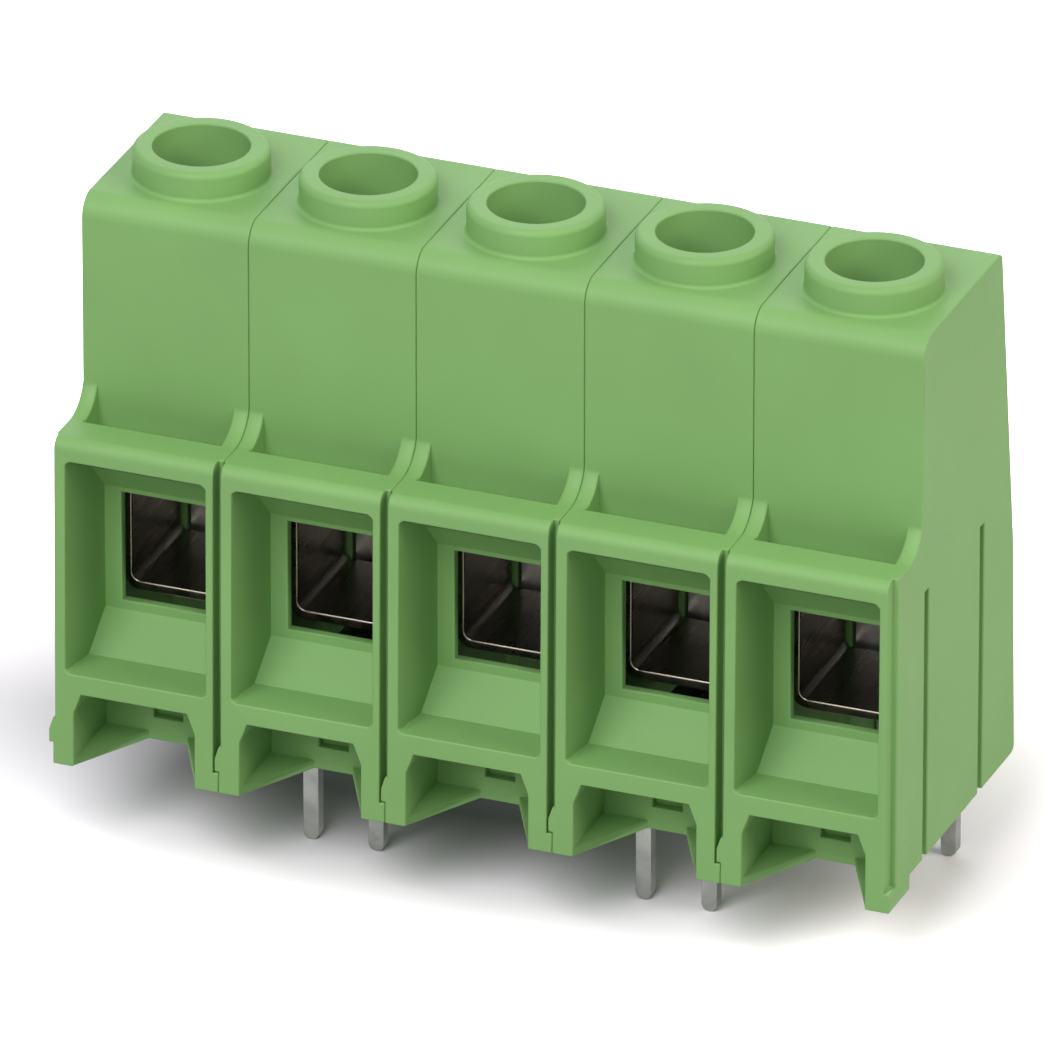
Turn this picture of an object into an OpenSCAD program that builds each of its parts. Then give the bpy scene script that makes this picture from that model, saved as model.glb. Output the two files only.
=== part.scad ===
// Five-pole screw terminal block for a printed circuit board.
// Each pole is a moulded housing that holds a rising sleeve clamp, its screw and a current bar
// whose two solder pins go through the board. The housings stand side by side in one row.
//
// Frame: +X along the row, +Y away from the wire side, +Z up, in millimetres.
// Z = 0 is the top of the board. The origin is the middle of the pin pattern.
// Inside the modules of one pole, X = 0 is the middle of the pole and Y = 0 its front edge.

/* [Row] */
// Distance from pole to pole, which is also the width of one housing
pitch = 12.7; // [12.4:0.1:16]

/* [Housing] */
// Height of the flat deck above the board
deck_h = 41.85; // [39:0.05:50]
// Front edge to the front wall that closes the clamp chamber
wall_y = 6.1; // [5:0.1:8]
// Thickness of that front wall
wall_t = 0.8; // [0.7:0.05:1.4]
// Thickness of the back wall behind the rear solder pins
back_wall = 1.8; // [1.2:0.1:3]
// How far the back face comes forward between the board and the deck
back_lean = 3.4; // [0:0.1:5]
// Radius of the long edge between the front wall and the deck
deck_r = 1.65; // [1:0.05:2]
// Height of the raised back part of the underside above the board
foot_step = 1.1; // [0.6:0.1:1.6]
// Length of the front foot
foot_len = 4.2; // [3:0.1:5]

/* [Front frame] */
// Height of the ledge on top of the wire funnel
ledge_h = 25.6; // [24.8:0.1:29]
// Depth of the ledge, up to the marker groove
ledge_d = 3.5; // [2.5:0.1:4]
// Depth of the marker groove below the ledge
marker_d = 1.8; // [1:0.1:2]
// Thickness of the two fins that close the ends of the marker groove
fin_t = 1.15; // [0.8:0.05:1.6]
// Height of the curve that brings each fin down to the ledge
fin_h = 1.9; // [1:0.1:2.5]
// Radius of the front edge of the ledge
ledge_r = 0.9; // [0.4:0.1:1.4]
// How far the front leans back between the board and the ledge
front_lean = 0.3; // [0:0.05:0.6]
// Thickness of the frame beside the mouth of the funnel
frame_side = 0.96; // [0.9:0.02:1.4]
// Thickness of the frame above the mouth
frame_top = 1.7; // [1.2:0.1:2]
// Thickness of the beam between the mouth and the foot pocket
beam_t = 1.55; // [1.2:0.05:1.8]
// Height of the foot pocket
pocket_h = 5.75; // [4.5:0.05:6]
// Width of the foot on the left of the pocket
foot_left = 1.6; // [1.3:0.05:2]
// Width of the foot on the right of the pocket
foot_right = 1.85; // [1.3:0.05:2]
// Thickness of the floor plate of the pocket
plate_t = 0.7; // [0.5:0.05:1.2]
// Half of the straight crown of the notch in the floor plate
crown_w = 1.45; // [0.8:0.05:2.5]
// Width of the window in the back of the pocket
window_w = 2.2; // [1.2:0.1:3]
// Relief on the left side of the front frame
relief_left = 0.15; // [0.05:0.01:0.3]
// Relief on its right side, which takes the neighbour's snap nub
relief_right = 0.42; // [0.3:0.01:0.5]
// Depth of both from the front edge
relief_d = 1.4; // [1:0.1:2]

/* [Wire entry] */
// Height of the sill of the wire entry
entry_low = 10.7; // [10:0.1:12]
// Height of the opening
entry_h = 8.5; // [7:0.1:9.5]
// Width of the opening
entry_w = 6.9; // [6.6:0.1:7.3]

/* [Sleeve clamp] */
// Thickness of the sleeve's sheet
sleeve_t = 0.75; // [0.5:0.05:1]
// Length of the sleeve along the wire
sleeve_d = 9; // [8:0.1:10]
// Gap between the front wall and the sleeve
sleeve_gap = 1.6; // [1.2:0.1:2.4]
// Height of the drawn collar that holds the thread
thread_collar_h = 1; // [0.5:0.1:2]

/* [Screw] */
// Thread diameter
thread_d = 4; // [3.5:0.1:4.5]
// Thread pitch
thread_pitch = 0.7; // [0.5:0.05:0.8]
// Turns from fully open to fully closed
lift_turns = 11; // [8:1:14]
// Head diameter
head_d = 6.1; // [5.6:0.1:6.4]
// Head height
head_h = 3; // [2:0.1:3.5]
// Width of the driver slot
slot_w = 1.2; // [0.8:0.1:1.4]
// Depth of the driver slot
slot_d = 1.6; // [1:0.1:1.8]

/* [Driver collar] */
// Diameter of the driver bore
driver_d = 6.94; // [6.9:0.02:7.6]
// Wall of the raised collar round the driver bore
collar_wall = 1.45; // [1:0.05:1.6]
// Height of the collar above the deck
collar_h = 2.15; // [1:0.05:4]

/* [Current bar and pins] */
// Thickness of the strip
strip_t = 1; // [0.8:0.05:1.1]
// Width of one solder pin
pin_w = 1.2; // [0.9:0.05:1.4]
// Distance between the two pins of one pole
pin_gap = 5; // [4.6:0.05:5.1]
// Length of the pins below the board's top
pin_l = 6.7; // [3:0.1:7]
// Distance from the strip's upright leg back to the rear row of pins
rear_reach = 4.25; // [3:0.05:6]

/* [Side key] */
// Width of the two ribs on the left face
rib_w = 0.6; // [0.4:0.05:1.2]
// Height of the ribs above the left face
rib_h = 0.5; // [0.3:0.05:0.7]
// Height above the board at which the ribs end
rib_top = 21.8; // [12:0.1:24]
// Reach of the snap nub past the left face
nub_h = 0.32; // [0.2:0.02:0.42]

/* [Hidden] */

poles = 5;
$fn = 48;
cut = 1;              // how far cutting bodies run past the faces that they open

run_gap = 0.17;       // sleeve to chamber wall, on each side
end_gap = 0.3;        // stop clearance above and behind a moving piece
bar_gap = 0.2;        // current bar to the sleeve and to the wire entry
slot_gap = 0.15;      // current bar to its slot
thread_gap = 0.05;    // screw to the sleeve's thread, on the radius
tip_gap = 0.05;       // screw tip to the current bar
shank_gap = 0.25;     // screw shank to the hole in the shelf, on the radius
head_gap = 0.12;      // screw head to its pocket, on the radius
seat_gap = 0.1;       // screw head to the shelf
key_gap = 0.1;        // rib to groove, on each side

shelf_t = 1.4;        // housing between the chamber and the screw head
web_t = 1;            // housing between the marker groove and the funnel
chamfer_w = 0.6;      // upper corners of the foot pocket
chamfer_h = 1.5;
bend_r = 0.5;         // inner bend radius of the strip
pin_root = 3;         // height at which the strip splits into two pins
foot_z = 6;           // height of the strip's lower run, at its middle
sleeve_in_r = 0.6;    // inner corner radius of the sleeve
funnel_close = 1.3;   // how much narrower the funnel is at its back
ramp_start = 0.59;    // where the funnel's floor turns up, as a share of its depth
sill_lip = 0.7;       // upright lip between the ramp and the sill of the wire entry
roof_lip = 0.4;       // and above the entry, up to the funnel's roof
floor_rise = 0.45;    // sleeve's floor above the sill when the clamp is open
heel_r = 0.6;         // radius between the back face and the underside
back_bend = 0.6;      // how far the lower part of the back face leans in
back_bend_z = 18;     // height at which the back face bends
deck_back_r = 0.7;    // radius between the deck and the back face
rim_r = 0.5;          // rounding of the driver collar's rim
root_r = 0.3;         // fillet between the collar and the deck
mouth_r_low = 0.5;    // corner radii of the funnel's mouth
mouth_r_up = 0.6;
window_low = 1.1;     // window in the back of the pocket, from the floor plate upwards
window_high = 2.7;
nub_low = 1.65;       // underside of the snap nub
nub_side = 1;         // its upright side, and the slanted flank above that
nub_flank = 1;
notch_y = 0.2;        // front corners of the notch in the floor plate
foot_skin = 0.6;      // inner part of each foot that reaches the board for the pocket's full depth
pad_w = 3;            // standoff under the back wall
pad_ends = [0.15, 0.6];         // its distance from the rear pin room and from the back face
pad_root = 1.4;       // how far it runs up into the wall
thread_wall = 1.1;    // wall of the drawn collar round the thread
head_bevel = 0.3;
tip_bevel = [0.8, 1.3];         // heights of the two steps of the screw's dog point
tip_share = [0.7, 0.78];        // their radii, as shares of the thread's
lap = 0.01;           // overlap of solids that are joined

// Side view of one pole, from the front edge backwards
chamber_front = wall_y + wall_t;
sleeve_y0 = chamber_front + sleeve_gap;
sleeve_y1 = sleeve_y0 + sleeve_d;
axis_y = (sleeve_y0 + sleeve_y1) / 2;
chamber_back = sleeve_y1 + end_gap;
leg_y = chamber_back + slot_gap + strip_t / 2;
front_pin_y = chamber_front + 1 + strip_t / 2;
rear_pin_y = leg_y + rear_reach;
rear_room_y = rear_pin_y + strip_t / 2 + slot_gap;
back_y = rear_room_y + back_wall;
footprint_y = (front_pin_y + rear_pin_y) / 2;

// Heights, from the board upwards
mouth_low = pocket_h + beam_t;
mouth_top = ledge_h - frame_top;
entry_top = entry_low + entry_h;
floor_in_z = entry_low + floor_rise;
bar_low = entry_top + bar_gap;
bar_top = bar_low + strip_t;
sleeve_in_top = bar_top + bar_gap;
sleeve_top = sleeve_in_top + 2 * sleeve_t;
lift = min(thread_pitch * lift_turns, bar_low - floor_in_z - end_gap);
chamber_top = sleeve_top + thread_collar_h + lift + end_gap;
head_seat = chamber_top + shelf_t;
head_low = head_seat + seat_gap;
head_top = head_low + head_h;
guide_top = head_top + end_gap;
collar_top = deck_h + collar_h;

// Widths
half = pitch / 2;
sleeve_in_w = entry_w + 0.4;
sleeve_w = sleeve_in_w + 2 * sleeve_t;
chamber_w = sleeve_w + 2 * run_gap;
strip_w = pin_gap + pin_w;
strip_room_w = strip_w + 2 * slot_gap;
mouth_w = pitch - 2 * frame_side;
throat_w = mouth_w - funnel_close;
pocket_xs = [foot_left - half, half - foot_right];
collar_d = driver_d + 2 * collar_wall;
groove_w = rib_w + 2 * key_gap;
groove_top = rib_top + 0.3;
rib_ys = [chamber_front + 0.2, leg_y - 0.3];
nub_w = min(nub_h, relief_right - key_gap);
nub_top = nub_low + nub_side + nub_flank;

// The curve of the fins: an arc that leaves the ledge level and meets the front wall
fin_reach = wall_y - ledge_d;
fin_rise = min(fin_h, fin_reach);
fin_r = (fin_rise ^ 2 + fin_reach ^ 2) / (2 * fin_rise);

function arc(c, r, a0, a1, n = 10) =
    [for (i = [0:n]) c + r * [cos(a0 + (a1 - a0) * i / n), sin(a0 + (a1 - a0) * i / n)]];

function unit(v) = v / norm(v);
function left_of(d) = [-d[1], d[0]];

// One long edge of a strip that follows a path with square turns. s is the side step from the
// middle line, positive to the left, and each turn is an arc about its own bend centre.
function strip_edge(path, s, r, n = 6) = let (last = len(path) - 1) concat(
    [path[0] + s * left_of(unit(path[1] - path[0]))],
    [for (i = [1:1:last - 1])
        let (a = unit(path[i] - path[i - 1]), b = unit(path[i + 1] - path[i]))
        let (side = a[0] * b[1] - a[1] * b[0], c = path[i] + r * (b - a))
        for (k = [0:n]) c + (r - s * side) * (a * sin(90 * k / n) - b * cos(90 * k / n))],
    [path[last] + s * left_of(unit(path[last] - path[last - 1]))]
);

function reversed(list) = [for (i = [len(list) - 1:-1:0]) list[i]];

function strip_outline(path, t, r) =
    concat(strip_edge(path, t / 2, r + t / 2), reversed(strip_edge(path, -t / 2, r + t / 2)));

function pole_x(i) = (i - (poles + 1) / 2) * pitch;
function is_front_row(i) = i % 2 == 0;

module at_pole(i) translate([pole_x(i), -footprint_y, 0]) children();
module along_x(w) rotate([90, 0, 90]) linear_extrude(w, center = true) children();
module along_y(y0, y1) translate([0, y1, 0]) rotate([90, 0, 0]) linear_extrude(y1 - y0) children();

// A box that is centred on X and given by its Y and Z limits
module slab(w, y0, y1, z0, z1) translate([-w / 2, y0, z0]) cube([w, y1 - y0, z1 - z0]);

// A rectangle centred on X, with one radius for its lower and one for its upper corners
module round_rect(w, z0, z1, r_low, r_up) {
    difference() {
        translate([-w / 2, z0]) square([w, z1 - z0]);
        for (side = [-1, 1]) {
            corner_waste(side * w / 2, z0, side, 1, r_low);
            corner_waste(side * w / 2, z1, side, -1, r_up);
        }
    }
}

module corner_waste(x, z, side, up, r) {
    difference() {
        translate([x, z]) scale([-side, up]) translate([-cut, -cut]) square(r + cut);
        translate([x - side * r, z + up * r]) circle(r);
    }
}

// ---- housing ----

function side_outline() = concat(
    [[0, 0], [back_y - heel_r, 0]], arc([back_y - heel_r, foot_step + heel_r], heel_r, -90, 0, 6),
    [[back_y - back_bend, back_bend_z]],
    arc([back_y - back_lean - deck_back_r, deck_h - deck_back_r], deck_back_r, 0, 90, 6),
    arc([wall_y + deck_r, deck_h - deck_r], deck_r, 90, 180),
    reversed(arc([ledge_d, ledge_h + fin_r], fin_r, -90, asin(fin_rise / fin_r - 1))),
    arc([front_lean + ledge_r, ledge_h - ledge_r], ledge_r, 90, 180, 8)
);

module blank(w = pitch) along_x(w) polygon(side_outline());

// The raised underside behind the foot. The front wall goes down to the board between the feet.
module underside_step() {
    difference() {
        slab(pitch + cut, foot_len, back_y + cut, -cut, foot_step);
        translate([pocket_xs[0] - foot_skin, 0, -2 * cut])
            cube([pocket_xs[1] - pocket_xs[0] + 2 * foot_skin, chamber_front, foot_step + 3 * cut]);
    }
}

module rear_pad()
    slab(pad_w, rear_room_y + pad_ends[0], back_y - pad_ends[1], 0, foot_step + pad_root);

module left_relief()
    translate([-half - cut, -cut, nub_top]) cube([relief_left + cut, relief_d + cut, ledge_h]);

module right_relief()
    translate([half - relief_right, -cut, nub_low - key_gap])
        cube([relief_right + cut, relief_d + cut, ledge_h]);

// Nub at the foot of the left side, flush with the front. The neighbour's right relief takes it.
module snap_nub() {
    intersection() {
        blank(pitch + 2 * cut);
        mirror([1, 0, 0]) along_y(-cut, relief_d - key_gap) polygon([
            [half - cut, nub_low], [half + nub_w, nub_low], [half + nub_w, nub_low + nub_side],
            [half, nub_top], [half - cut, nub_low + nub_side]
        ]);
    }
}

module side_ribs() {
    for (y = rib_ys)
        translate([-half - rib_h, y - rib_w / 2, foot_step])
            cube([rib_h + rib_w, rib_w, rib_top - foot_step]);
}

module side_grooves() {
    for (y = rib_ys)
        translate([half - rib_h - 2 * key_gap, y - groove_w / 2, -cut])
            cube([rib_h + cut, groove_w, groove_top + cut]);
}

module driver_collar() {
    r = collar_d / 2;
    translate([0, axis_y, 0]) rotate_extrude() polygon(concat(
        [[0, deck_h - cut], [r + root_r, deck_h - cut]],
        reversed(arc([r + root_r, deck_h + root_r], root_r, 180, 270, 4)),
        arc([r - rim_r, collar_top - rim_r], rim_r, 0, 90, 6),
        [[0, collar_top]]
    ));
}

module screw_bores() {
    translate([0, axis_y, chamber_top - cut])
        cylinder(r = thread_d / 2 + shank_gap, h = shelf_t + 2 * cut);
    translate([0, axis_y, head_seat])
        cylinder(r = head_d / 2 + head_gap, h = guide_top - head_seat + lap);
    translate([0, axis_y, guide_top]) cylinder(d = driver_d, h = collar_top - guide_top + cut);
}

module marker_groove() {
    w = pitch - 2 * fin_t;
    slab(w, ledge_d, wall_y, ledge_h - marker_d, deck_h - deck_r);
    slab(w, -cut, wall_y, ledge_h, deck_h - deck_r);
}

// Wire funnel: flat floor, ramp up to the sill, steep roof, and sides that close in to the throat
module funnel() {
    ramp_y = ramp_start * wall_y;
    roof_y = ledge_d - 0.1;
    roof_z = ledge_h - marker_d - web_t;
    side_step = (mouth_w - throat_w) / 2 / wall_y;
    intersection() {
        along_x(pitch) polygon([
            [-cut, mouth_low], [ramp_y, mouth_low], [wall_y, entry_low - sill_lip],
            [wall_y, entry_top + roof_lip], [roof_y, roof_z], [front_lean, mouth_top], [-cut, mouth_top]
        ]);
        linear_extrude(ledge_h) polygon([
            [-mouth_w / 2 - cut * side_step, -cut], [mouth_w / 2 + cut * side_step, -cut],
            [throat_w / 2, wall_y], [-throat_w / 2, wall_y]
        ]);
        along_y(-cut, wall_y)
            round_rect(mouth_w + lap, mouth_low - lap, mouth_top + lap, mouth_r_low, mouth_r_up);
    }
}

module wire_entry() slab(entry_w, wall_y - lap, chamber_front + lap, entry_low, entry_top);

module clamp_chamber() slab(chamber_w, chamber_front, chamber_back, -cut, chamber_top);

module strip_room() {
    slab(strip_room_w, chamber_back - lap, leg_y + strip_t / 2 + slot_gap, -cut, bar_top + end_gap);
    slab(strip_room_w, chamber_back - lap, rear_room_y, -cut, foot_z + strip_t / 2 + end_gap);
}

module foot_pocket() {
    left = pocket_xs[0];
    right = pocket_xs[1];
    along_y(-cut, wall_y) polygon([
        [left, plate_t], [right, plate_t],
        [right, pocket_h - chamfer_h], [right - chamfer_w, pocket_h],
        [left + chamfer_w, pocket_h], [left, pocket_h - chamfer_h]
    ]);
}

// Notch in the floor plate: a flat crown along the wall and two sides that run out to the feet
module plate_notch() {
    translate([0, 0, -cut]) linear_extrude(plate_t + 2 * cut) polygon([
        [pocket_xs[0], -cut], [pocket_xs[1], -cut], [pocket_xs[1], notch_y],
        [crown_w, wall_y], [-crown_w, wall_y], [pocket_xs[0], notch_y]
    ]);
}

module pocket_window()
    slab(window_w, wall_y - lap, chamber_front + lap, plate_t + window_low, plate_t + window_high);

module housing(i) {
    color([0.47, 0.66, 0.38]) at_pole(i) difference() {
        union() {
            difference() {
                blank();
                underside_step();
                left_relief();
                right_relief();
            }
            rear_pad();
            snap_nub();
            side_ribs();
            driver_collar();
        }
        marker_groove();
        funnel();
        wire_entry();
        foot_pocket();
        plate_notch();
        pocket_window();
        side_grooves();
        clamp_chamber();
        strip_room();
        screw_bores();
    }
}

// ---- sleeve clamp ----

// Strip wrapped into a box. Its two ends lap on top, where the drawn collar carries the thread.
module sleeve(i) {
    out_r = sleeve_in_r + sleeve_t;
    color([0.72, 0.72, 0.70]) at_pole(i) difference() {
        union() {
            along_y(sleeve_y0, sleeve_y1) {
                round_rect(sleeve_w, floor_in_z - sleeve_t, sleeve_in_top + sleeve_t, out_r, out_r);
                translate([out_r / 2, 0])
                    round_rect(sleeve_w - out_r, sleeve_in_top, sleeve_top, lap, sleeve_t);
            }
            translate([0, axis_y, sleeve_top - lap])
                cylinder(r = thread_d / 2 + thread_wall, h = thread_collar_h + lap);
        }
        along_y(sleeve_y0 - cut, sleeve_y1 + cut)
            round_rect(sleeve_in_w, floor_in_z, sleeve_in_top, sleeve_in_r, sleeve_in_r);
        translate([0, axis_y, sleeve_in_top - cut])
            cylinder(r = thread_d / 2 + thread_gap, h = 2 * sleeve_t + thread_collar_h + 2 * cut);
    }
}

// ---- screw ----

module screw(i) {
    r = thread_d / 2;
    tip = bar_top + tip_gap;
    color([0.75, 0.75, 0.74]) at_pole(i) translate([0, axis_y, 0]) difference() {
        rotate_extrude() polygon([
            [0, tip], [tip_share[0] * r, tip], [tip_share[1] * r, tip + tip_bevel[0]],
            [r, tip + tip_bevel[1]], [r, head_low], [head_d / 2, head_low],
            [head_d / 2, head_top - head_bevel], [head_d / 2 - head_bevel, head_top], [0, head_top]
        ]);
        translate([-head_d / 2 - cut, -slot_w / 2, head_top - slot_d])
            cube([head_d + 2 * cut, slot_w, slot_d + cut]);
    }
}

// ---- current bar ----

module solder_pin(x, y) {
    translate([x, 0, 0]) along_y(y - strip_t / 2, y + strip_t / 2) union() {
        translate([-pin_w / 2, pin_w / 2 - pin_l]) square([pin_w, pin_root + pin_l - pin_w / 2]);
        translate([0, pin_w / 2 - pin_l]) circle(d = pin_w);
    }
}

// Strip that lies under the screw tip, turns down behind the sleeve and ends in the pin pair.
// In the front row it comes forward again below the sleeve, in the rear row it goes on back.
module current_bar(i) {
    pin_y = is_front_row(i) ? front_pin_y : rear_pin_y;
    middle_z = (bar_low + bar_top) / 2;
    color([0.70, 0.70, 0.69]) at_pole(i) {
        along_x(strip_w) polygon(strip_outline(
            [[chamber_front + end_gap, middle_z], [leg_y, middle_z], [leg_y, foot_z],
             [pin_y, foot_z], [pin_y, pin_root]],
            strip_t, bend_r));
        for (side = [-1, 1]) solder_pin(side * pin_gap / 2, pin_y);
    }
}

housing(1);  // housing_1
housing(2);  // housing_2
housing(3);  // housing_3
housing(4);  // housing_4
housing(5);  // housing_5
sleeve(1);  // sleeve_1
sleeve(2);  // sleeve_2
sleeve(3);  // sleeve_3
sleeve(4);  // sleeve_4
sleeve(5);  // sleeve_5
screw(1);  // screw_1
screw(2);  // screw_2
screw(3);  // screw_3
screw(4);  // screw_4
screw(5);  // screw_5
current_bar(1);  // current_bar_1
current_bar(2);  // current_bar_2
current_bar(3);  // current_bar_3
current_bar(4);  // current_bar_4
current_bar(5);  // current_bar_5
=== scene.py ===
"""Five-pole screw terminal block for a circuit board, with its clamps, screws and solder pins.

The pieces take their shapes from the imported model. Lengths are in metres, +X runs along the row of
poles, +Y away from the wire side and +Z up, and Z = 0 is the top of the board.
"""
import math

import bmesh
import bpy
import numpy as np
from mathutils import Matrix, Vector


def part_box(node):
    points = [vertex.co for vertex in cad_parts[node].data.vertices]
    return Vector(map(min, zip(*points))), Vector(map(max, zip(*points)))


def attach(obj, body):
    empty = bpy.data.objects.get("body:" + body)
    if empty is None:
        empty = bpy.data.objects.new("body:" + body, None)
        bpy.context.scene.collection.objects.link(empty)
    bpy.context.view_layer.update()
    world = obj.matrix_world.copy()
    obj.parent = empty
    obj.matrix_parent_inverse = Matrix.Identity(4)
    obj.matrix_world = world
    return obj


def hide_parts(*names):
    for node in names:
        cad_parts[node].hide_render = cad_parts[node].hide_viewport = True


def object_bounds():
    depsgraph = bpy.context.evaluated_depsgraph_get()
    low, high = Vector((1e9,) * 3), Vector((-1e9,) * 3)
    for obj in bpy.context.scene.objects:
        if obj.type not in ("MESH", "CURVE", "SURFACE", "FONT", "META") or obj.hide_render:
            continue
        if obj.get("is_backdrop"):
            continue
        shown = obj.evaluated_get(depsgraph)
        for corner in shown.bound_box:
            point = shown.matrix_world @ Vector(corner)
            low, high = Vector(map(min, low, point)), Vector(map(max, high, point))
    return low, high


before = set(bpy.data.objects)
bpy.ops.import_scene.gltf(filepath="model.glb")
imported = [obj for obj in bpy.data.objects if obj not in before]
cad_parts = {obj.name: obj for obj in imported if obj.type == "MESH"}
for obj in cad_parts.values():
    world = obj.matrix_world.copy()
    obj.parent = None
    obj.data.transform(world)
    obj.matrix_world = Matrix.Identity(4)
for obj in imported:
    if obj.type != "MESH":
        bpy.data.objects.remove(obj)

bl_info = {
    "name": "Board Screw Terminal",
    "version": (1, 0, 0),
    "blender": (4, 5, 0),
    "location": "3D View > Sidebar > Terminal",
    "description": "Dresses the screw terminal block in moulded plastic and plated metal",
    "category": "Object",
}

MM = 0.001
POLES = sorted(
    int(name.rsplit("_", 1)[1]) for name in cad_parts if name.startswith("housing_"))
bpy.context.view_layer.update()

# Copies of the CAD meshes: points nearer than MERGE_DISTANCE are one point, slivers go, and faces
# that differ by less than FLAT_ANGLE are one face. An edge that turns by more than EDGE_ANGLE is
# sharp.
MERGE_DISTANCE = 0.001 * MM
SLIVER_WIDTH = 0.002 * MM
FLAT_ANGLE = math.radians(0.3)
EDGE_ANGLE = math.radians(40)
EDGE_SEGMENTS = 2
FLAT_WEIGHT = 100

# The web in the window of each foot pocket: half its width, its two heights, and the two depths at
# which it stands before the chamber, whose front lies CHAMBER_GAP in front of the sleeve.
CHAMBER_GAP = 1.6 * MM
WEB_HALF_WIDTH = 1.3 * MM
WEB_BOTTOM, WEB_TOP = 1.6 * MM, 3.6 * MM
WEB_FRONT, WEB_BACK = 0.1 * MM, 0.02 * MM

# Screws: the head starts where the radius passes HEAD_SHARE of the largest. Points within
# AXIS_RADIUS of the axis are the middles of flat ends, and don't shape the shank. The shank reaches
# SEAM into the head, and the head is cut off flat at half of that. The thread has THREAD_ROWS rings
# of points in each turn, and THREAD_COLUMNS points in each ring.
HEAD_SHARE = 0.95
AXIS_RADIUS = 0.01 * MM
SEAM = 0.1 * MM
THREAD_ROWS, THREAD_COLUMNS = 12, 48

# The middle of a noise pattern's range, where nearly all of its values lie.
NOISE_LOW, NOISE_HIGH = 0.3, 0.7

# Floor: a painted shadow in an oval round the block, seen by the camera. Over the shadow's reach
# the floor's colour is painted from dark near the block to light, from the first to the second
# lift value and with a slight tint, and over WHITE_REACH it turns plain white.
FLOOR_SIDE = 4
PAINTED_SHADOW_OVAL_SCALE = (0.5, 1, 1)
PAINTED_SHADOW_OVAL_SHIFT = (5 * MM, -8 * MM, 0)
PAINTED_SHADOW_REACH = (8 * MM, 35 * MM)
PAINTED_SHADOW_LIFT = (0.3, 2.2)
PAINTED_SHADOW_TINT = (1.0, 0.96, 1.03)
WHITE_REACH = (70 * MM, 160 * MM)

# The sky's strength grows from the first to the second value between these heights of a direction.
SKY_HEIGHTS = (0.0, 0.7)
SKY_STRENGTHS = (0.05, 0.36)
SKY_COLOUR = (0.93, 1.0, 0.97, 1)
BACKDROP_STRENGTH = 1.08

# Softboxes: side, power in watts, place and colour of each.
SOFTBOXES = {
    "top_softbox": (0.5, 0.2, (0.0, 0.05, 0.6), (1.0, 1.0, 1.0)),
    "back_softbox": (0.5, 0.8, (-0.2, 0.52, 0.26), (1.0, 1.0, 1.0)),
    "side_softbox": (0.4, 2.0, (0.52, -0.02, 0.34), (1.0, 0.94, 0.8)),
    "key_softbox": (0.45, 3.3, (-0.06, -0.46, 0.45), (1.0, 0.98, 0.98)),
}

# Camera: width of its sensor in millimetres, and the nearest and farthest that it sees.
SENSOR_WIDTH = 36
CLIP_START, CLIP_END = 0.05, 20


# ---- meshes ----


def new_piece(name, mesh):
    """An object for a mesh, at the origin and in the scene."""
    piece = bpy.data.objects.new(name, mesh)
    bpy.context.scene.collection.objects.link(piece)
    return piece


def merged_copy(node, name, radius):
    """A copy of a CAD node's mesh with its loose triangles merged and its flat faces joined again.

    Where the surface turns by more than EDGE_ANGLE, an outer edge is rounded by a Bevel of the
    given radius and an inner corner stays sharp. Weighted normals then keep the flats flat.
    """
    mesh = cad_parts[node].data.copy()
    mesh.name = name
    mesh.materials.clear()
    bm = bmesh.new()
    bm.from_mesh(mesh)
    bmesh.ops.remove_doubles(bm, verts=bm.verts, dist=MERGE_DISTANCE)
    bmesh.ops.dissolve_degenerate(bm, dist=SLIVER_WIDTH, edges=bm.edges)
    bmesh.ops.dissolve_limit(bm, angle_limit=FLAT_ANGLE, verts=bm.verts, edges=bm.edges)
    for face in bm.faces:
        face.smooth = True
    rounded = bm.edges.layers.float.new("bevel_weight_edge")
    for edge in bm.edges:
        turns = not edge.is_manifold or edge.calc_face_angle() > EDGE_ANGLE
        outer = edge.is_manifold and edge.is_convex
        edge[rounded] = float(turns and outer)
        edge.smooth = outer or not turns
    bm.to_mesh(mesh)
    bm.free()
    if mesh.attributes.get("custom_normal"):
        mesh.attributes.remove(mesh.attributes["custom_normal"])
    piece = new_piece(name, mesh)
    bevel = piece.modifiers.new("soft_edges", "BEVEL")
    bevel.width = radius
    bevel.segments = EDGE_SEGMENTS
    bevel.limit_method = "WEIGHT"
    bevel.use_clamp_overlap = False
    flats = piece.modifiers.new("flat_faces", "WEIGHTED_NORMAL")
    flats.weight = FLAT_WEIGHT
    flats.keep_sharp = True
    return piece


def turned_profile(node):
    """Axis, heights and radii of a turned CAD node, read from its vertices and sorted by height."""
    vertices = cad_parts[node].data.vertices
    points = np.empty(len(vertices) * 3)
    vertices.foreach_get("co", points)
    points = points.reshape(-1, 3)
    low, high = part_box(node)
    axis = (np.array(low[:2]) + np.array(high[:2])) / 2
    radii = np.hypot(*(points[:, :2] - axis).T)
    order = np.argsort(points[:, 2])
    return axis, points[order, 2], radii[order]


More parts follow.
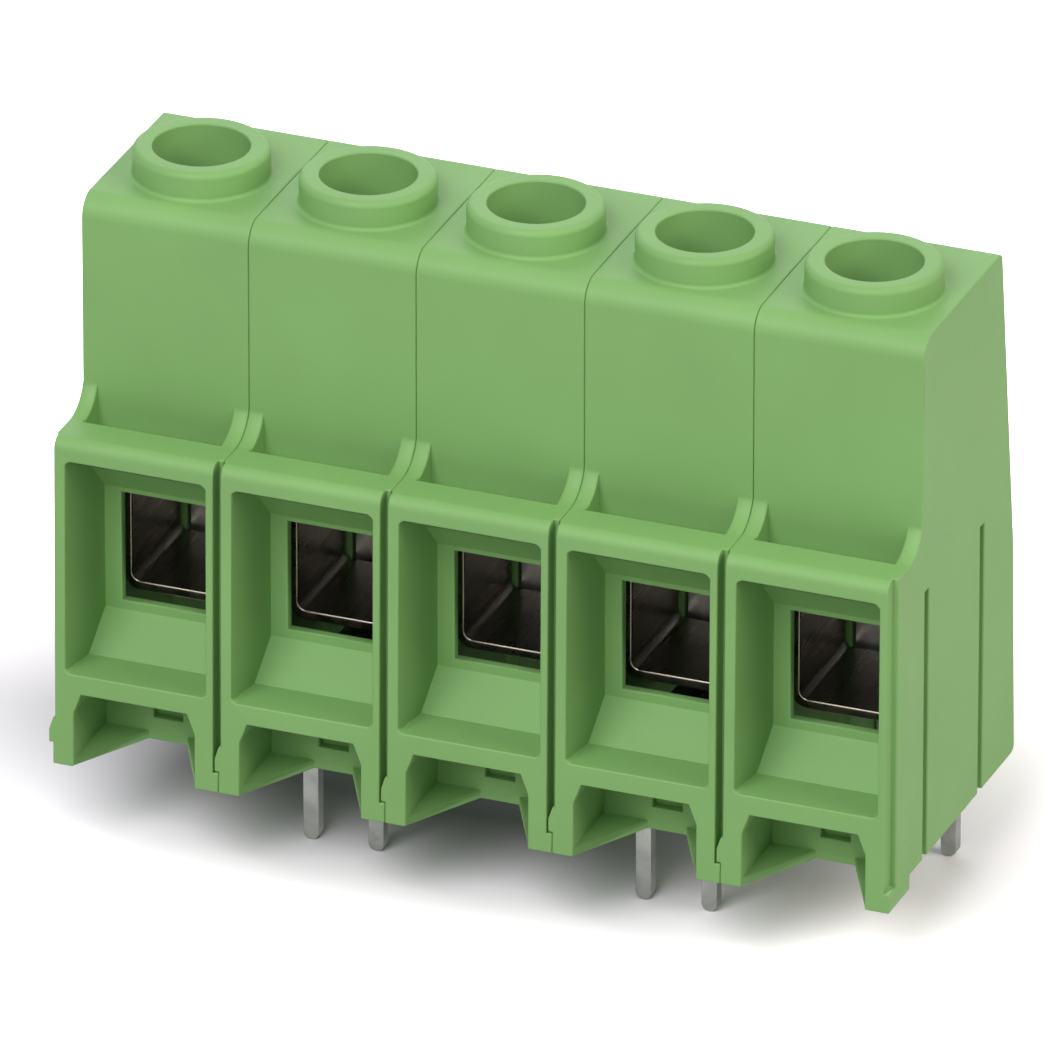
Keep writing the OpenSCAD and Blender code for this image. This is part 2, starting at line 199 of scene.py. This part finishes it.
def threaded_rod(name, axis, heights, radii, pitch, depth):
    """A rod with a right-hand vee thread inside the envelope that heights and radii give.

    The radius is envelope(z) - depth * fade(z) * |2 * frac(z / pitch - angle / 2 pi) - 1|. The fade
    lets the thread run out over one pitch at both ends.
    """
    rows = int((heights[-1] - heights[0]) / pitch * THREAD_ROWS)
    z = np.linspace(heights[0], heights[-1], rows)[:, None]
    turn = np.linspace(0, 1, THREAD_COLUMNS, endpoint=False)[None, :]
    fade = np.clip(np.minimum(z - heights[0], heights[-1] - z) / pitch, 0, 1)
    vee = np.abs(2 * ((z / pitch - turn) % 1) - 1)
    radius = np.interp(z, heights, radii) - depth * fade * vee
    angle = 2 * np.pi * turn
    points = np.stack([
        axis[0] + radius * np.cos(angle),
        axis[1] + radius * np.sin(angle),
        np.broadcast_to(z, radius.shape),
    ], -1)
    index = np.arange(rows * THREAD_COLUMNS).reshape(rows, THREAD_COLUMNS)
    after = np.roll(index, -1, 1)
    quads = np.stack([index[:-1], after[:-1], after[1:], index[1:]], -1).reshape(-1, 4)
    mesh = bpy.data.meshes.new(name)
    mesh.from_pydata(points.reshape(-1, 3).tolist(), [], [
        *quads.tolist(), index[0, ::-1].tolist(), index[-1].tolist(),
    ])
    smooth = np.ones(len(mesh.polygons), bool)
    smooth[-2:] = False
    mesh.polygons.foreach_set("use_smooth", smooth)
    return new_piece(name, mesh)


def cut_below(piece, height):
    """Takes away what a piece has below a height and closes it there."""
    bm = bmesh.new()
    bm.from_mesh(piece.data)
    cut = bmesh.ops.bisect_plane(
        bm, geom=bm.verts[:] + bm.edges[:] + bm.faces[:], plane_co=(0, 0, height),
        plane_no=(0, 0, 1), clear_inner=True,
    )
    rim = [part for part in cut["geom_cut"] if isinstance(part, bmesh.types.BMEdge)]
    bmesh.ops.contextual_create(bm, geom=rim)
    bm.to_mesh(piece.data)
    bm.free()


def flat_web(name, low, high):
    """A flat web that fills the box from low to high.

    Its corners are low + (high - low) * (a, b, c) with a, b and c each 0 or 1.
    """
    low, high = np.array(low), np.array(high)
    shares = np.indices((2, 2, 2)).reshape(3, -1).T
    mesh = bpy.data.meshes.new(name)
    mesh.from_pydata((low + (high - low) * shares).tolist(), [], [
        (0, 1, 3, 2), (4, 6, 7, 5), (0, 4, 5, 1), (2, 3, 7, 6), (0, 2, 6, 4), (1, 5, 7, 3),
    ])
    return new_piece(name, mesh)


def dress(piece, node, body, material):
    """Puts the finish on a piece that stands for one CAD node and ties it to the node's body."""
    piece.data.materials.clear()
    piece.data.materials.append(material)
    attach(piece, body)
    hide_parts(node)


# ---- materials ----


def add_node(tree, kind, inputs, **settings):
    """A new node. Its inputs, by name or number, are constants or the outputs of other nodes."""
    node = tree.nodes.new(kind)
    for name, value in settings.items():
        setattr(node, name, value)
    for name, value in inputs.items():
        if isinstance(value, bpy.types.NodeSocket):
            tree.links.new(value, node.inputs[name])
        else:
            node.inputs[name].default_value = value
    return node


def map_range(tree, value, source, target):
    """The output that maps a value from the source range to the target range."""
    return add_node(tree, "ShaderNodeMapRange", {
        "Value": value, "From Min": source[0], "From Max": source[1],
        "To Min": target[0], "To Max": target[1],
    }).outputs["Result"]


def combine(tree, operation, first, second):
    """The output of a Math node on two values."""
    return add_node(tree, "ShaderNodeMath", {0: first, 1: second}, operation=operation).outputs[0]


class Finish:
    """A node material with its Principled shader, and short ways to add patterns to it."""

    def __init__(self, name):
        self.material = bpy.data.materials.new(name)
        self.material.use_nodes = True
        self.tree = self.material.node_tree
        self.shader = self.tree.nodes["Principled BSDF"]
        self.place = add_node(self.tree, "ShaderNodeTexCoord", {}).outputs["Object"]

    def stretched(self, factors, shift=(0, 0, 0)):
        """Object coordinates scaled by one factor for each axis, then shifted."""
        return add_node(self.tree, "ShaderNodeMapping", {
            "Vector": self.place, "Scale": factors, "Location": shift,
        }).outputs["Vector"]

    def noise(self, scale, detail=2.0, place=None):
        """Noise with this many lumps to the metre."""
        return add_node(self.tree, "ShaderNodeTexNoise", {
            "Vector": place or self.place, "Scale": scale, "Detail": detail,
        }).outputs["Fac"]

    def set_colour(self, pattern, colour, dark, light):
        """Runs the colour with a pattern, from dark times the colour to light times it."""
        ramp = add_node(self.tree, "ShaderNodeValToRGB", {"Fac": pattern})
        stops = zip(ramp.color_ramp.elements, (NOISE_LOW, NOISE_HIGH), (dark, light))
        for stop, position, factor in stops:
            stop.position = position
            stop.color = (*(min(1.0, channel * factor) for channel in colour), 1)
        self.tree.links.new(ramp.outputs["Color"], self.shader.inputs["Base Color"])

    def set_roughness(self, pattern, roughness, less, more):
        """Runs the roughness with a pattern, from roughness - less to roughness + more."""
        spread = map_range(
            self.tree, pattern, (NOISE_LOW, NOISE_HIGH), (roughness - less, roughness + more))
        self.tree.links.new(spread, self.shader.inputs["Roughness"])

    def set_relief(self, pattern, height, strength):
        """Relief of a pattern, of the given height."""
        bump = add_node(self.tree, "ShaderNodeBump", {
            "Height": pattern, "Distance": height, "Strength": strength,
        })
        self.tree.links.new(bump.outputs["Normal"], self.shader.inputs["Normal"])


def moulded_plastic(settings):
    """Satin polyamide: broad flow clouding in the colour and a fine spark-eroded grain."""
    finish = Finish("moulded_green_polyamide")
    clouds = finish.noise(scale=110, detail=3)
    grain = finish.noise(scale=5200)
    finish.set_colour(clouds, settings.colour, dark=0.96, light=1.04)
    finish.set_roughness(grain, settings.roughness, less=0.05, more=0.05)
    finish.set_relief(grain, height=settings.grain, strength=0.6)
    finish.shader.inputs["IOR"].default_value = 1.5
    finish.shader.inputs["Specular IOR Level"].default_value = 0.22
    return finish.material


def plated_sheet(settings):
    """Nickel over cold-rolled sheet: rolling marks that run along the strip and faint clouding."""
    finish = Finish("nickel_plated_sheet_painted_shade")
    clouds = finish.noise(scale=260)
    marks = finish.noise(scale=900, place=finish.stretched((1, 0.06, 1)))
    # The colour here is partly painted shade, darker than the plating's own grey.
    finish.set_colour(clouds, settings.colour, dark=0.85, light=1.1)
    finish.set_roughness(marks, settings.roughness, less=0.06, more=0.08)
    finish.set_relief(marks, height=0.002 * MM, strength=0.3)
    finish.shader.inputs["Metallic"].default_value = 1.0
    return finish.material


def turned_steel(settings):
    """Zinc over turned steel: fine tool rings across the axis and a slight tint."""
    finish = Finish("zinc_plated_steel")
    clouds = finish.noise(scale=500)
    rings = finish.noise(scale=2600, place=finish.stretched((0.15, 0.15, 1)))
    finish.set_colour(clouds, settings.colour, dark=0.9, light=1.08)
    finish.set_roughness(rings, settings.roughness, less=0.06, more=0.08)
    finish.set_relief(rings, height=0.003 * MM, strength=0.5)
    finish.shader.inputs["Metallic"].default_value = 1.0
    return finish.material


def tinned_strip(settings):
    """Matt tin on punched copper strip: grey mottling, and drawn streaks along the pins."""
    finish = Finish("matt_tin_plate")
    mottle = finish.noise(scale=700, detail=3)
    streaks = finish.noise(scale=1500, place=finish.stretched((1, 1, 0.1)))
    finish.set_colour(mottle, settings.colour, dark=0.82, light=1.12)
    finish.set_roughness(streaks, settings.roughness, less=0.08, more=0.1)
    finish.set_relief(streaks, height=0.005 * MM, strength=0.5)
    finish.shader.inputs["Metallic"].default_value = 1.0
    return finish.material


# ---- settings ----


class HousingSettings(bpy.types.PropertyGroup):
    """Look and edges of the moulded housings"""

    colour: bpy.props.FloatVectorProperty(
        name="Plastic", description="Colour of the moulded plastic", subtype="COLOR",
        size=3, min=0, max=1, default=(0.205, 0.395, 0.135))
    roughness: bpy.props.FloatProperty(
        name="Roughness", description="Roughness of the moulded plastic", subtype="FACTOR",
        min=0.1, max=0.9, default=0.46)
    grain: bpy.props.FloatProperty(
        name="Grain", description="Height of the mould's grain", subtype="DISTANCE",
        unit="LENGTH", min=0, max=0.1 * MM, precision=6, default=0.004 * MM)
    edge: bpy.props.FloatProperty(
        name="Edge radius", description="Radius on the moulding's edges", subtype="DISTANCE",
        unit="LENGTH", min=0.02 * MM, max=0.13 * MM, precision=5, default=0.13 * MM)


class SleeveSettings(bpy.types.PropertyGroup):
    """Look and edges of the sleeve clamps"""

    # The plate's colour is nickel's own grey painted darker, as painted shade for the sleeve deep in
    # its chamber.
    colour: bpy.props.FloatVectorProperty(
        name="Plate", description="Colour of the sleeve's plating", subtype="COLOR",
        size=3, min=0, max=1, default=(0.24, 0.21, 0.175))
    roughness: bpy.props.FloatProperty(
        name="Roughness", description="Roughness of the plating", subtype="FACTOR",
        min=0.08, max=0.9, default=0.28)
    edge: bpy.props.FloatProperty(
        name="Edge radius", description="Radius on the sheet's cut edges", subtype="DISTANCE",
        unit="LENGTH", min=0.02 * MM, max=0.3 * MM, precision=5, default=0.16 * MM)


class ScrewSettings(bpy.types.PropertyGroup):
    """Look, edges and thread of the clamp screws"""

    colour: bpy.props.FloatVectorProperty(
        name="Plate", description="Colour of the screw's plating", subtype="COLOR",
        size=3, min=0, max=1, default=(0.60, 0.60, 0.59))
    roughness: bpy.props.FloatProperty(
        name="Roughness", description="Roughness of the plating", subtype="FACTOR",
        min=0.08, max=0.9, default=0.3)
    thread_pitch: bpy.props.FloatProperty(
        name="Thread pitch", description="Rise of the thread in one turn", subtype="DISTANCE",
        unit="LENGTH", min=0.4 * MM, max=1.0 * MM, precision=5, default=0.7 * MM)
    thread_depth: bpy.props.FloatProperty(
        name="Thread depth", description="Depth of the thread on the radius", subtype="DISTANCE",
        unit="LENGTH", min=0.1 * MM, max=0.6 * MM, precision=5, default=0.4 * MM)
    edge: bpy.props.FloatProperty(
        name="Edge radius", description="Radius on the head's edges", subtype="DISTANCE",
        unit="LENGTH", min=0.02 * MM, max=0.3 * MM, precision=5, default=0.1 * MM)


class BarSettings(bpy.types.PropertyGroup):
    """Look and edges of the current bars"""

    colour: bpy.props.FloatVectorProperty(
        name="Plate", description="Colour of the tin plate", subtype="COLOR",
        size=3, min=0, max=1, default=(0.40, 0.40, 0.40))
    roughness: bpy.props.FloatProperty(
        name="Roughness", description="Roughness of the tin plate", subtype="FACTOR",
        min=0.08, max=0.9, default=0.32)
    edge: bpy.props.FloatProperty(
        name="Edge radius", description="Radius on the strip's punched edges", subtype="DISTANCE",
        unit="LENGTH", min=0.02 * MM, max=0.3 * MM, precision=5, default=0.08 * MM)


class StageSettings(bpy.types.PropertyGroup):
    """Place of the camera and colour of the floor"""

    azimuth: bpy.props.FloatProperty(
        name="Azimuth", description="Camera angle round the block, from the wire side",
        subtype="ANGLE", unit="ROTATION", default=math.radians(21.563))
    elevation: bpy.props.FloatProperty(
        name="Elevation", description="Camera angle above the board", subtype="ANGLE",
        unit="ROTATION", default=math.radians(26.303))
    roll: bpy.props.FloatProperty(
        name="Roll", description="Camera turn about its own axis", subtype="ANGLE",
        unit="ROTATION", default=math.radians(0.045))
    distance: bpy.props.FloatProperty(
        name="Distance", description="Camera distance", subtype="DISTANCE", unit="LENGTH",
        min=0.2, default=1.5725)
    aim: bpy.props.FloatVectorProperty(
        name="Aim", description="Point that the camera looks at", subtype="TRANSLATION",
        unit="LENGTH", size=3, precision=5, default=(0.00021, -0.00499, 0.01979))
    lens: bpy.props.FloatProperty(
        name="Lens", description="Focal length of the camera, in millimetres", min=50,
        max=2000, default=762.6)
    floor: bpy.props.FloatVectorProperty(
        name="Floor", description="Colour of the floor", subtype="COLOR", size=3,
        min=0, max=1, default=(0.55, 0.55, 0.55))


# ---- pieces ----


class TERMINAL_OT_housings(bpy.types.Operator):
    """Moulded housings: each CAD moulding with rounded edges, and a web in its pocket's window"""

    bl_idname = "terminal.housings"
    bl_label = "Housings"

    def execute(self, context):
        settings = context.scene.terminal_housing
        plastic = moulded_plastic(settings)
        for pole in POLES:
            node = f"housing_{pole}"
            moulding = merged_copy(node, f"moulded_housing_{pole}", settings.edge)
            dress(moulding, node, "block", plastic)
            low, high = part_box(f"sleeve_{pole}")
            centre = (low[0] + high[0]) / 2
            wall = low[1] - CHAMBER_GAP
            web = flat_web(
                f"window_web_{pole}",
                (centre - WEB_HALF_WIDTH, wall - WEB_FRONT, WEB_BOTTOM),
                (centre + WEB_HALF_WIDTH, wall - WEB_BACK, WEB_TOP),
            )
            dress(web, node, "block", plastic)
        return {"FINISHED"}


class TERMINAL_OT_sleeves(bpy.types.Operator):
    """Sleeve clamps: folded and plated sheet with softened cut edges"""

    bl_idname = "terminal.sleeves"
    bl_label = "Sleeves"

    def execute(self, context):
        settings = context.scene.terminal_sleeve
        plate = plated_sheet(settings)
        for pole in POLES:
            node = f"sleeve_{pole}"
            sleeve = merged_copy(node, f"clamp_sleeve_{pole}", settings.edge)
            dress(sleeve, node, f"clamp_{pole}", plate)
        return {"FINISHED"}


class TERMINAL_OT_screws(bpy.types.Operator):
    """Clamp screws: the CAD head with its driver slot on a shank with a real thread"""

    bl_idname = "terminal.screws"
    bl_label = "Screws"

    def execute(self, context):
        settings = context.scene.terminal_screw
        plate = turned_steel(settings)
        for pole in POLES:
            node = f"screw_{pole}"
            axis, heights, radii = turned_profile(node)
            head_low = heights[radii > HEAD_SHARE * radii.max()][0]
            shank = (heights < head_low - SEAM) & (radii > AXIS_RADIUS)
            thread = threaded_rod(
                f"screw_thread_{pole}", axis, np.append(heights[shank], head_low + SEAM),
                np.append(radii[shank], radii[shank].max()), settings.thread_pitch,
                settings.thread_depth,
            )
            dress(thread, node, f"spindle_{pole}", plate)
            head = merged_copy(node, f"clamp_screw_{pole}", settings.edge)
            cut_below(head, head_low + SEAM / 2)
            dress(head, node, f"spindle_{pole}", plate)
        return {"FINISHED"}


class TERMINAL_OT_bars(bpy.types.Operator):
    """Current bars with their solder pins: punched and tinned strip"""

    bl_idname = "terminal.bars"
    bl_label = "Current bars"

    def execute(self, context):
        settings = context.scene.terminal_bar
        tin = tinned_strip(settings)
        for pole in POLES:
            node = f"current_bar_{pole}"
            bar = merged_copy(node, f"tinned_bar_{pole}", settings.edge)
            dress(bar, node, "block", tin)
        return {"FINISHED"}


# ---- stage ----


def softbox(name, side, power, place, colour, aim):
    """A square lamp of the given side and power at a place, turned towards the aim."""
    data = bpy.data.lights.new(name, "AREA")
    data.shape = "SQUARE"
    data.size = side
    data.energy = power
    data.color = colour
    lamp = bpy.data.objects.new(name, data)
    bpy.context.scene.collection.objects.link(lamp)
    lamp.location = place
    lamp.rotation_euler = (Vector(aim) - Vector(place)).to_track_quat("-Z", "Y").to_euler()


def floor_material(colour):
    """Pale floor. The metal sees it as white, and so does the camera, apart from a painted shadow.

    What the camera sees is a painted shadow: the floor's colour is painted dark near the block and
    lighter with the distance from it, and the rest of the floor white. From below the floor is
    clear.
    """
    finish = Finish("studio_floor")
    tree = finish.tree
    paths = add_node(tree, "ShaderNodeLightPath", {}).outputs
    camera = paths["Is Camera Ray"]
    mirrored = combine(tree, "MAXIMUM", paths["Is Glossy Ray"], paths["Is Transmission Ray"])
    oval = finish.stretched(PAINTED_SHADOW_OVAL_SCALE, PAINTED_SHADOW_OVAL_SHIFT)
    reach = add_node(tree, "ShaderNodeVectorMath", {0: oval}, operation="LENGTH").outputs["Value"]
    # Painted shadow: the floor's colour, dark near the block and lighter with the distance from it.
    tint = add_node(tree, "ShaderNodeVectorMath", {
        0: PAINTED_SHADOW_TINT, "Scale": map_range(tree, reach, PAINTED_SHADOW_REACH, PAINTED_SHADOW_LIFT),
    }, operation="SCALE")
    plain = add_node(tree, "ShaderNodeMix", {
        "Factor": mirrored, "A": (*colour, 1), "B": (1, 1, 1, 1),
    }, data_type="RGBA")
    seen = add_node(tree, "ShaderNodeMix", {
        "Factor": camera, "A": plain.outputs["Result"], "B": tint.outputs["Vector"],
    }, data_type="RGBA")
    diffuse = add_node(tree, "ShaderNodeBsdfDiffuse", {"Color": seen.outputs["Result"]})
    ground = add_node(tree, "ShaderNodeMixShader", {
        0: combine(tree, "MULTIPLY", map_range(tree, reach, WHITE_REACH, (0, 1)), camera),
        1: diffuse.outputs["BSDF"],
        2: add_node(tree, "ShaderNodeEmission", {}).outputs["Emission"],
    })
    sides = add_node(tree, "ShaderNodeMixShader", {
        0: add_node(tree, "ShaderNodeNewGeometry", {}).outputs["Backfacing"],
        1: ground.outputs["Shader"],
        2: add_node(tree, "ShaderNodeBsdfTransparent", {}).outputs["BSDF"],
    })
    tree.links.new(sides.outputs["Shader"], tree.nodes["Material Output"].inputs["Surface"])
    tree.nodes.remove(finish.shader)
    return finish.material


def studio_world():
    """Sky of a pale studio: dim at the horizon, brighter overhead, plain white as a background."""
    world = bpy.data.worlds.new("studio")
    world.use_nodes = True
    tree = world.node_tree
    direction = add_node(tree, "ShaderNodeTexCoord", {}).outputs["Generated"]
    height = add_node(tree, "ShaderNodeSeparateXYZ", {"Vector": direction}).outputs["Z"]
    paths = add_node(tree, "ShaderNodeLightPath", {}).outputs
    direct = combine(tree, "MAXIMUM", paths["Is Camera Ray"], paths["Is Glossy Ray"])
    direct = combine(tree, "MAXIMUM", direct, paths["Is Transmission Ray"])
    strength = add_node(tree, "ShaderNodeMix", {
        "Factor": direct, "A": map_range(tree, height, SKY_HEIGHTS, SKY_STRENGTHS),
        "B": BACKDROP_STRENGTH,
    })
    background = tree.nodes["Background"]
    background.inputs["Color"].default_value = SKY_COLOUR
    tree.links.new(strength.outputs["Result"], background.inputs["Strength"])
    return world


def stage_camera(settings):
    """The camera: azimuth, elevation and distance place it round the aim, and roll turns it."""
    azimuth, elevation = settings.azimuth, settings.elevation
    back = Vector((
        math.sin(azimuth) * math.cos(elevation),
        -math.cos(azimuth) * math.cos(elevation),
        math.sin(elevation),
    ))
    data = bpy.data.cameras.new("camera")
    data.sensor_width = SENSOR_WIDTH
    data.lens = settings.lens
    data.clip_start = CLIP_START
    data.clip_end = CLIP_END
    camera = bpy.data.objects.new("camera", data)
    bpy.context.scene.collection.objects.link(camera)
    camera.location = Vector(settings.aim) + back * settings.distance
    turn = back.to_track_quat("Z", "Y").to_matrix() @ Matrix.Rotation(settings.roll, 3, "Z")
    camera.rotation_euler = turn.to_euler()
    return camera


class TERMINAL_OT_stage(bpy.types.Operator):
    """Floor, soft studio light and camera"""

    bl_idname = "terminal.stage"
    bl_label = "Stage"

    def execute(self, context):
        settings = context.scene.terminal_stage
        scene = context.scene
        low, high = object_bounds()
        bpy.ops.mesh.primitive_plane_add(size=FLOOR_SIDE, location=(0, 0, low[2]))
        floor = context.object
        floor.name = "studio_floor"
        floor.data.materials.append(floor_material(tuple(settings.floor)))
        floor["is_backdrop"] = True
        centre = [(a + b) / 2 for a, b in zip(low, high)]
        for name, lamp in SOFTBOXES.items():
            softbox(name, *lamp, centre)
        scene.world = studio_world()
        scene.camera = stage_camera(settings)
        scene.view_settings.view_transform = "Standard"
        return {"FINISHED"}


OPERATORS = (
    TERMINAL_OT_housings,
    TERMINAL_OT_sleeves,
    TERMINAL_OT_screws,
    TERMINAL_OT_bars,
    TERMINAL_OT_stage,
)
SETTINGS = {
    "terminal_housing": HousingSettings,
    "terminal_sleeve": SleeveSettings,
    "terminal_screw": ScrewSettings,
    "terminal_bar": BarSettings,
    "terminal_stage": StageSettings,
}


class TERMINAL_PT_panel(bpy.types.Panel):
    """Sidebar panel with the pieces and their settings"""

    bl_idname = "TERMINAL_PT_panel"
    bl_label = "Screw terminal"
    bl_space_type = "VIEW_3D"
    bl_region_type = "UI"
    bl_category = "Terminal"

    def draw(self, context):
        for operator, name in zip(OPERATORS, SETTINGS):
            box = self.layout.box()
            box.operator(operator.bl_idname)
            settings = getattr(context.scene, name)
            for key in settings.bl_rna.properties.keys():
                if key not in {"rna_type", "name"}:
                    box.prop(settings, key)


def register():
    """Makes the settings, the operators and the panel known to Blender."""
    for name, group in SETTINGS.items():
        bpy.utils.register_class(group)
        setattr(bpy.types.Scene, name, bpy.props.PointerProperty(type=group))
    for operator in OPERATORS:
        bpy.utils.register_class(operator)
    bpy.utils.register_class(TERMINAL_PT_panel)


def unregister():
    """Takes away what register made known."""
    bpy.utils.unregister_class(TERMINAL_PT_panel)
    for operator in reversed(OPERATORS):
        bpy.utils.unregister_class(operator)
    for name, group in SETTINGS.items():
        delattr(bpy.types.Scene, name)
        bpy.utils.unregister_class(group)


def main():
    """Makes all pieces and the stage."""
    register()
    bpy.ops.terminal.housings()
    bpy.ops.terminal.sleeves()
    bpy.ops.terminal.screws()
    bpy.ops.terminal.bars()
    bpy.ops.terminal.stage()


if __name__ == "__main__":
    main()
